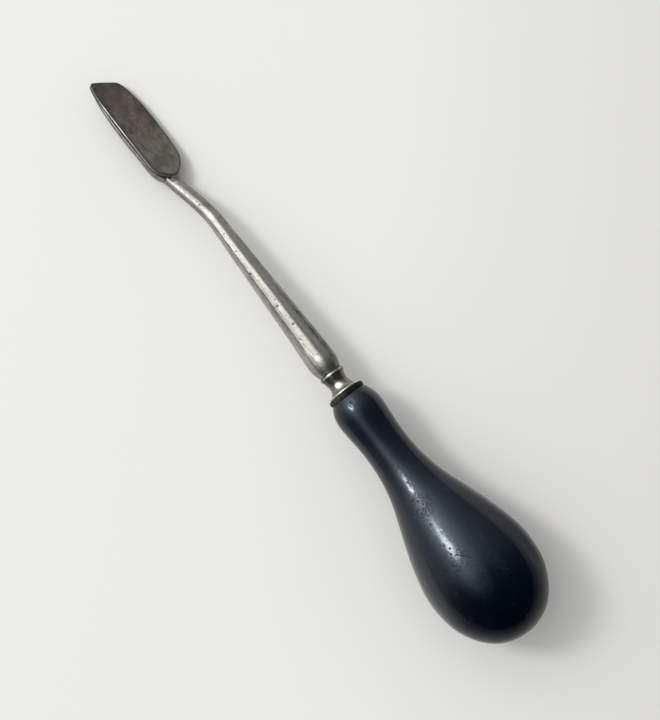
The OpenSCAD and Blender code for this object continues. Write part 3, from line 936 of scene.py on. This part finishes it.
def build_plate():
    line = even(catmull(PLATE, 16, True), 640, True)
    line = soften_closed(line, 1.6)
    count = len(line)
    along = np.roll(line, -1, 0) - np.roll(line, 1, 0)
    along /= np.linalg.norm(along, axis=1)[:, None]
    area = 0.5 * np.sum(line[:, 0] * np.roll(line[:, 1], -1) - np.roll(line[:, 0], -1) * line[:, 1])
    inward = np.column_stack([-along[:, 1], along[:, 0]]) * (1 if area > 0 else -1)
    spine_x = np.clip(line[:, 0], -127.0, -97.5)
    spine = np.column_stack([spine_x, np.interp(spine_x, [-127, -118, -97.5], [-1.6, -0.3, -0.1])])
    x, y = line[:, 0], line[:, 1]
    # a narrow bevel, widest round the tip and along the right side
    bevel = (0.18 + 0.22 * smoothstep(-127, -131, x) * smoothstep(-6.5, -4.0, y)
             + 0.22 * smoothstep(3.0, 6.0, y) * smoothstep(-94, -104, x))
    drop = 0.16 + 0.42 * bevel
    lat = Lattice(31)
    rings = []

    def ring(inset, z):
        p = line + inward * np.asarray(inset).reshape(-1, 1)
        rings.append(np.column_stack([p, np.broadcast_to(z, (count,))]))

    # under side, from the middle out
    last_in = 0.9
    for f in (1.0, 0.8, 0.55, 0.3):
        p = line + (spine - line) * f
        q = np.column_stack([p, np.full(count, PLATE_UNDER)])
        rings.append(q)
    ring(last_in, PLATE_UNDER)
    ring(0.35, PLATE_UNDER)
    ring(0.14, PLATE_UNDER + 0.01)
    ring(0.05, PLATE_UNDER + 0.05)
    ring(0.0, PLATE_UNDER + 0.16)
    ring(0.0, (PLATE_UNDER + PLATE_TOP) / 2)
    ring(0.0, PLATE_TOP - drop - 0.10)
    for k in range(5):
        t = k / 4
        ring(0.03 + 0.05 * t, PLATE_TOP - drop - 0.06 + 0.05 * t)
    for t in (0.15, 0.4, 0.65, 0.85):
        ring(0.08 + bevel * t, PLATE_TOP - drop + (drop - 0.03) * t)
    ring(0.08 + bevel, PLATE_TOP - 0.02)
    ring(0.14 + bevel, PLATE_TOP - 0.004)
    ring(0.24 + bevel, np.full(count, PLATE_TOP))
    base = rings[-1][:, :2]
    steps = np.linspace(0, 1, 40)[1:]
    for f in steps:
        p = base + (spine - base) * f
        rings.append(np.column_stack([p, np.full(count, PLATE_TOP)]))
    n_rings = len(rings)
    grid = np.array(rings)
    # gentle hollows hammered and ground into the face
    top = np.arange(n_rings) >= n_rings - len(steps)
    sag = (0.055 * lat.octaves(np.dstack([grid[:, :, 0] / 8.0, grid[:, :, 1] / 4.0, grid[:, :, 2] * 0])))
    depth = smoothstep(0.0, 0.25, (np.arange(n_rings) - (n_rings - len(steps)) + 1) / len(steps))
    grid[:, :, 2] += (np.minimum(sag, 0.02) - 0.02) * depth[:, None] * top[:, None]
    wob = 0.03 * lat.octaves(np.dstack([grid[:, :, 0] / 3.0, grid[:, :, 1] / 3.0, grid[:, :, 2] / 2.0]))
    edge_ring = ((np.arange(n_rings) > 6) & ~top)[:, None]
    grid[:, :, :2] += inward[None] * (np.maximum(wob, -0.0) * edge_ring)[:, :, None]
    verts = grid.reshape(-1, 3)
    idx = np.arange(len(verts)).reshape(n_rings, count)
    quads = [np.column_stack([p, q, np.roll(q, -1), np.roll(p, -1)]) for p, q in zip(idx[:-1], idx[1:])]
    ob = make_mesh("iron_face_plate", verts, np.vstack(quads))
    weld(ob)
    co = np.zeros(len(ob.data.vertices) * 3)
    ob.data.vertices.foreach_get("co", co)
    p = (co.reshape(-1, 3) * 1000 - LIFT) @ LAY
    # how far in from the outline, by nearest outline point
    near = np.full(len(p), 1e9)
    for s in range(0, len(p), 4096):
        q = p[s:s + 4096, :2]
        near[s:s + 4096] = np.sqrt(((q[:, None] - line[None, ::2]) ** 2).sum(2).min(1))
    z = p[:, 2]
    px, py = p[:, 0], p[:, 1]
    rough_line = lat.octaves(p / 2.5)
    # the left arris, toward the window, is rubbed bright and carries a painted highlight; the others are rubbed only
    # here and there
    left = smoothstep(-3.0, -5.0, py) * smoothstep(-127.5, -123.5, px) * (1 - 0.72 * smoothstep(-114, -106, px))
    arris = (1 - smoothstep(0.10, 0.30, near)) * (z > PLATE_TOP - 0.30)
    point_value(ob, "edge", np.clip(arris * (0.80 * left + 0.10) * (0.9 + 0.3 * rough_line), 0, 1))
    # darker round the outline, widest at the tip and along the left side, where it is painted shade cast by the raised
    # rim beside the arris; the walls and underside are dark throughout
    tip = smoothstep(-124, -131, px)
    inner = 1.0 + 0.9 * tip + 0.5 * smoothstep(-2.5, -5.0, py)
    border = 1 - smoothstep(0.35, inner, near + 0.25 * rough_line)
    border = np.where(z < PLATE_TOP - 0.30, 1.0, border)
    point_value(ob, "border", np.clip(border * (1 - 0.8 * left * arris), 0, 1))
    point_value(ob, "patch", np.exp(-(((px + 124.5) / 6.5) ** 2 + ((py + 1.6) / 4.0) ** 2)))
    rust = np.exp(-(((px + 112) / 7.0) ** 2 + ((py - 0.8) / 3.0) ** 2))
    # a half-ring worn by something round set down on the face
    ring_r = np.hypot(px - ARC[0], py - ARC[1])
    arc = 1.6 * np.exp(-((ring_r - ARC[2]) / 0.34) ** 2) * smoothstep(-0.6, 0.8, px - ARC[0]) * (np.abs(py - ARC[1]) < 3)
    point_value(ob, "rust", np.clip(np.maximum(rust, arc), 0, 1))
    speckle = smoothstep(2.8, 5.2, py) * smoothstep(-119, -113, px) * smoothstep(-95, -100, px)
    for sx, sy in SCRATCHES:
        u = (px - sx) * 0.45 + (py - sy) * 0.89
        v = (px - sx) * 0.89 - (py - sy) * 0.45
        speckle = np.maximum(speckle, 2.0 * np.exp(-(u / 0.75) ** 2 - (v / 0.14) ** 2))
    point_value(ob, "speckle", speckle)
    return ob


# centre and radius of the worn half-ring, and the places of short scratches
ARC = (-110.5, 0.6, 2.6)
SCRATCHES = [(-111.0, -4.0), (-110.2, -4.2), (-109.4, -4.1), (-108.6, -4.4)]


def weld(ob):
    import bmesh
    bm = bmesh.new()
    bm.from_mesh(ob.data)
    bmesh.ops.remove_doubles(bm, verts=bm.verts, dist=2e-6)
    bmesh.ops.dissolve_degenerate(bm, edges=bm.edges, dist=1e-7)
    bmesh.ops.recalc_face_normals(bm, faces=bm.faces)
    bm.to_mesh(ob.data)
    bm.free()
    ob.data.polygons.foreach_set("use_smooth", np.full(len(ob.data.polygons), True))


# ------------------------------------------------------------------ brazing
def build_braze():
    """Brazing metal run into the throat between the heel and the top of the shank."""
    lat = Lattice(41)
    heel = np.array([(p[1], p[0]) for p in PLATE[10:15]])
    shank = np.array(SHANK)
    n, m = 60, 26
    rings = []
    for i in range(n + 1):
        s = i / n
        y = -1.35 + 3.75 * s
        e = math.sqrt(max(0.0, 1 - (2 * s - 1) ** 2)) ** 0.7
        x0 = float(np.interp(y, heel[:, 0], heel[:, 1])) + 0.02
        x1 = x0 + (0.5 + 3.3 * e)
        t = np.linspace(0, 1, m)
        x = x0 + (x1 - x0) * t
        zc = np.interp(x, shank[:, 0], shank[:, 1])
        top = zc + np.sqrt(np.maximum(2.5 ** 2 - y * y, 0.2))
        z = top + 0.03 + (PLATE_TOP - 0.25 - 0.75 * (1 - e) - top) * (1 - t) ** 2.2
        z = np.maximum(z, top + 0.02)
        upper = np.column_stack([x, np.full(m, y), z])
        upper[1:-1, 2] -= np.abs(0.045 * lat.octaves(upper[1:-1] / 0.8))
        lower = np.column_stack([x[::-1], np.full(m, y), (top - 0.35)[::-1]])
        rings.append(np.vstack([upper, lower]))
    first, last = rings[0].mean(0), rings[-1].mean(0)
    rings = [first[None] + (0, -0.12, 0)] + rings + [last[None] + (0, 0.12, 0)]
    verts, quads, tris = skin(rings)
    return make_mesh("brazed_bead", verts, quads, tris)


# ------------------------------------------------------------------ put it together
wood = ebonised()
shank_steel = steel("shank_steel", (0.262, 0.246, 0.212), (0.52, 0.495, 0.440), 0.40, 0.8, "rubbed")
fitting_steel = steel("fitting_steel", (0.78, 0.74, 0.63), (0.25, 0.235, 0.20), 0.27, 0.8, "rubbed")

pieces = [
    (build_handle(), "handle", wood, "ebonised_wood"),
    (build_ring(), "neck_ring", fitting_steel, "bright_steel"),
    (build_bolster(), "bolster", fitting_steel, "bright_steel"),
    (build_washer(), "seat_washer", leather(), "leather"),
    (build_shank(), "shank", shank_steel, "bright_steel"),
    (build_plate(), "face_plate", plate_steel(), "dark_steel"),
    (build_braze(), "braze_fillet", braze(), "brazing"),
]
for ob, node, mat, slot in pieces:
    ob.data.materials.append(mat)
    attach(ob, "root")
    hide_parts(node)

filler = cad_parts["tang_cement"]
filler.data.materials.clear()
filler.data.materials.append(cement())

# ------------------------------------------------------------------ floor
floor_mesh = bpy.data.meshes.new("floor")
S = 3.0
floor_mesh.from_pydata([(-S, -S, 0), (S, -S, 0), (S, S, 0), (-S, S, 0)], [], [(0, 1, 2, 3)])
floor = bpy.data.objects.new("floor", floor_mesh)
scene.collection.objects.link(floor)
fm = bpy.data.materials.new("pale_paper")
fm.use_nodes = True
fb = fm.node_tree.nodes["Principled BSDF"]
tc = fm.node_tree.nodes.new("ShaderNodeTexCoord")
# painted shade: the paper is a little darker towards the right
dot = fm.node_tree.nodes.new("ShaderNodeVectorMath")
dot.operation = "DOT_PRODUCT"
dot.inputs[1].default_value = (0.604, 0.797, 0.0)
fm.node_tree.links.new(tc.outputs["Object"], dot.inputs[0])
rng_node = fm.node_tree.nodes.new("ShaderNodeMapRange")
rng_node.inputs["From Min"].default_value = 0.02
rng_node.inputs["From Max"].default_value = 0.12
fm.node_tree.links.new(dot.outputs["Value"], rng_node.inputs["Value"])
ramp = fm.node_tree.nodes.new("ShaderNodeMix")
ramp.data_type = "RGBA"
ramp.inputs[6].default_value = (0.752, 0.753, 0.740, 1)
ramp.inputs[7].default_value = (0.685, 0.683, 0.667, 1)
fm.node_tree.links.new(rng_node.outputs["Result"], ramp.inputs[0])


def floor_edge(direction, start, end):
    d = fm.node_tree.nodes.new("ShaderNodeVectorMath")
    d.operation = "DOT_PRODUCT"
    d.inputs[1].default_value = direction
    fm.node_tree.links.new(tc.outputs["Object"], d.inputs[0])
    n = fm.node_tree.nodes.new("ShaderNodeMapRange")
    n.interpolation_type = "SMOOTHSTEP"
    n.inputs["From Min"].default_value, n.inputs["From Max"].default_value = start, end
    fm.node_tree.links.new(d.outputs["Value"], n.inputs["Value"])
    return n.outputs["Result"]


# the light falls off beyond the right and the near side of the work
beyond = fm.node_tree.nodes.new("ShaderNodeMath")
beyond.operation = "MAXIMUM"
fm.node_tree.links.new(floor_edge((0.604, 0.797, 0.0), 0.150, 0.245), beyond.inputs[0])
fm.node_tree.links.new(floor_edge((0.796, -0.604, 0.0), 0.160, 0.255), beyond.inputs[1])
bench = fm.node_tree.nodes.new("ShaderNodeMix")
bench.data_type = "RGBA"
bench.inputs[7].default_value = (0.430, 0.430, 0.423, 1)
fm.node_tree.links.new(beyond.outputs[0], bench.inputs[0])
fm.node_tree.links.new(ramp.outputs[2], bench.inputs[6])
fm.node_tree.links.new(bench.outputs[2], fb.inputs["Base Color"])
fb.inputs["Roughness"].default_value = 0.9
fb.inputs["Specular IOR Level"].default_value = 0.1
floor_mesh.materials.append(fm)

# ------------------------------------------------------------------ light
WINDOW = np.array([-0.50, -0.35, 0.79])
WINDOW /= np.linalg.norm(WINDOW)
lamp = bpy.data.lights.new("window", "AREA")
lamp.shape = "RECTANGLE"
lamp.size, lamp.size_y = 0.38, 0.48
lamp.energy = 12.5
lamp.color = (1.0, 0.99, 0.97)
window = bpy.data.objects.new("window", lamp)
window.location = Vector(WINDOW * 2.0)
window.rotation_mode = "QUATERNION"
window.rotation_quaternion = Vector(WINDOW).to_track_quat("Z", "Y")
scene.collection.objects.link(window)

world = bpy.data.worlds.new("room")
scene.world = world
world.use_nodes = True
wn = world.node_tree
wn.nodes.clear()
wout = wn.nodes.new("ShaderNodeOutputWorld")


def wmath(op, a, b=0.0, clamp=False):
    n = wn.nodes.new("ShaderNodeMath")
    n.operation = op
    n.use_clamp = clamp
    for k, v in enumerate((a, b)):
        if isinstance(v, bpy.types.NodeSocket):
            wn.links.new(v, n.inputs[k])
        else:
            n.inputs[k].default_value = v
    return n.outputs[0]


def wdot(direction):
    n = wn.nodes.new("ShaderNodeVectorMath")
    n.operation = "DOT_PRODUCT"
    n.inputs[1].default_value = Vector(direction).normalized()
    wn.links.new(wtc.outputs["Generated"], n.inputs[0])
    return n.outputs["Value"]


def wrange(v, lo, hi, a, b):
    n = wn.nodes.new("ShaderNodeMapRange")
    n.interpolation_type = "SMOOTHSTEP"
    n.inputs["From Min"].default_value = lo
    n.inputs["From Max"].default_value = hi
    n.inputs["To Min"].default_value = a
    n.inputs["To Max"].default_value = b
    wn.links.new(v, n.inputs["Value"])
    return n.outputs["Result"]


wtc = wn.nodes.new("ShaderNodeTexCoord")
path = wn.nodes.new("ShaderNodeLightPath")
up = wdot((0, 0, 1))


def wlobe(azimuth, elevation, tight, strength):
    """A soft patch of brightness round one direction of the room."""
    a, e = math.radians(azimuth), math.radians(elevation)
    d = wdot((math.cos(e) * math.cos(a), math.cos(e) * math.sin(a), math.sin(e)))
    return wmath("MULTIPLY", wmath("EXPONENT", wmath("MULTIPLY", wmath("SUBTRACT", d, 1.0), tight)), strength)


# what the glossy surfaces see: a bright wall round the window, dim elsewhere
seen = wlobe(0, 0, 0.0, 0.02)
for patch in ((208, 46, 20, 1.8), (198, 42, 8, 2.3), (170, 25, 3, 0.75), (120, 10, 5, 0.12),
              (258, 68, 25, 0.9), (240, -10, 6, 0.75)):
    seen = wmath("ADD", seen, wlobe(*patch))
soft = wmath("ADD", wmath("MULTIPLY", seen, 0.56), 0.44)
b_soft = wn.nodes.new("ShaderNodeBackground")
b_soft.inputs["Color"].default_value = (1.0, 0.995, 0.98, 1)
wn.links.new(soft, b_soft.inputs["Strength"])
b_seen = wn.nodes.new("ShaderNodeBackground")
b_seen.inputs["Color"].default_value = (0.92, 0.985, 1.06, 1)
wn.links.new(seen, b_seen.inputs["Strength"])
b_back = wn.nodes.new("ShaderNodeBackground")
b_back.inputs["Color"].default_value = (0.82, 0.82, 0.80, 1)
b_back.inputs["Strength"].default_value = 0.95
m1 = wn.nodes.new("ShaderNodeMixShader")
wn.links.new(path.outputs["Is Glossy Ray"], m1.inputs[0])
wn.links.new(b_soft.outputs[0], m1.inputs[1])
wn.links.new(b_seen.outputs[0], m1.inputs[2])
m2 = wn.nodes.new("ShaderNodeMixShader")
wn.links.new(path.outputs["Is Camera Ray"], m2.inputs[0])
wn.links.new(m1.outputs[0], m2.inputs[1])
wn.links.new(b_back.outputs[0], m2.inputs[2])
wn.links.new(m2.outputs[0], wout.inputs["Surface"])

# ------------------------------------------------------------------ camera
cam_data = bpy.data.cameras.new("camera")
cam = bpy.data.objects.new("camera", cam_data)
scene.collection.objects.link(cam)
cam_data.sensor_fit = "AUTO"
cam_data.sensor_width = 36.0
cam_data.lens = 76.10
cam_data.clip_start, cam_data.clip_end = 0.01, 20.0
cam_data.dof.use_dof = False
eye = Vector((0.028322, 0.002518, 0.531581))
right = Vector((0.60389443, 0.79669519, -0.02425491))
down = Vector((0.79605336, -0.60438132, -0.03197281))
ahead = Vector((-0.04013179, 0.0, -0.99919440))
cam.matrix_world = Matrix((
    (right.x, -down.x, -ahead.x, eye.x),
    (right.y, -down.y, -ahead.y, eye.y),
    (right.z, -down.z, -ahead.z, eye.z),
    (0, 0, 0, 1)))
scene.camera = cam
scene.view_settings.view_transform = "Standard"
scene.view_settings.look = "None"

bpy.context.view_layer.update()
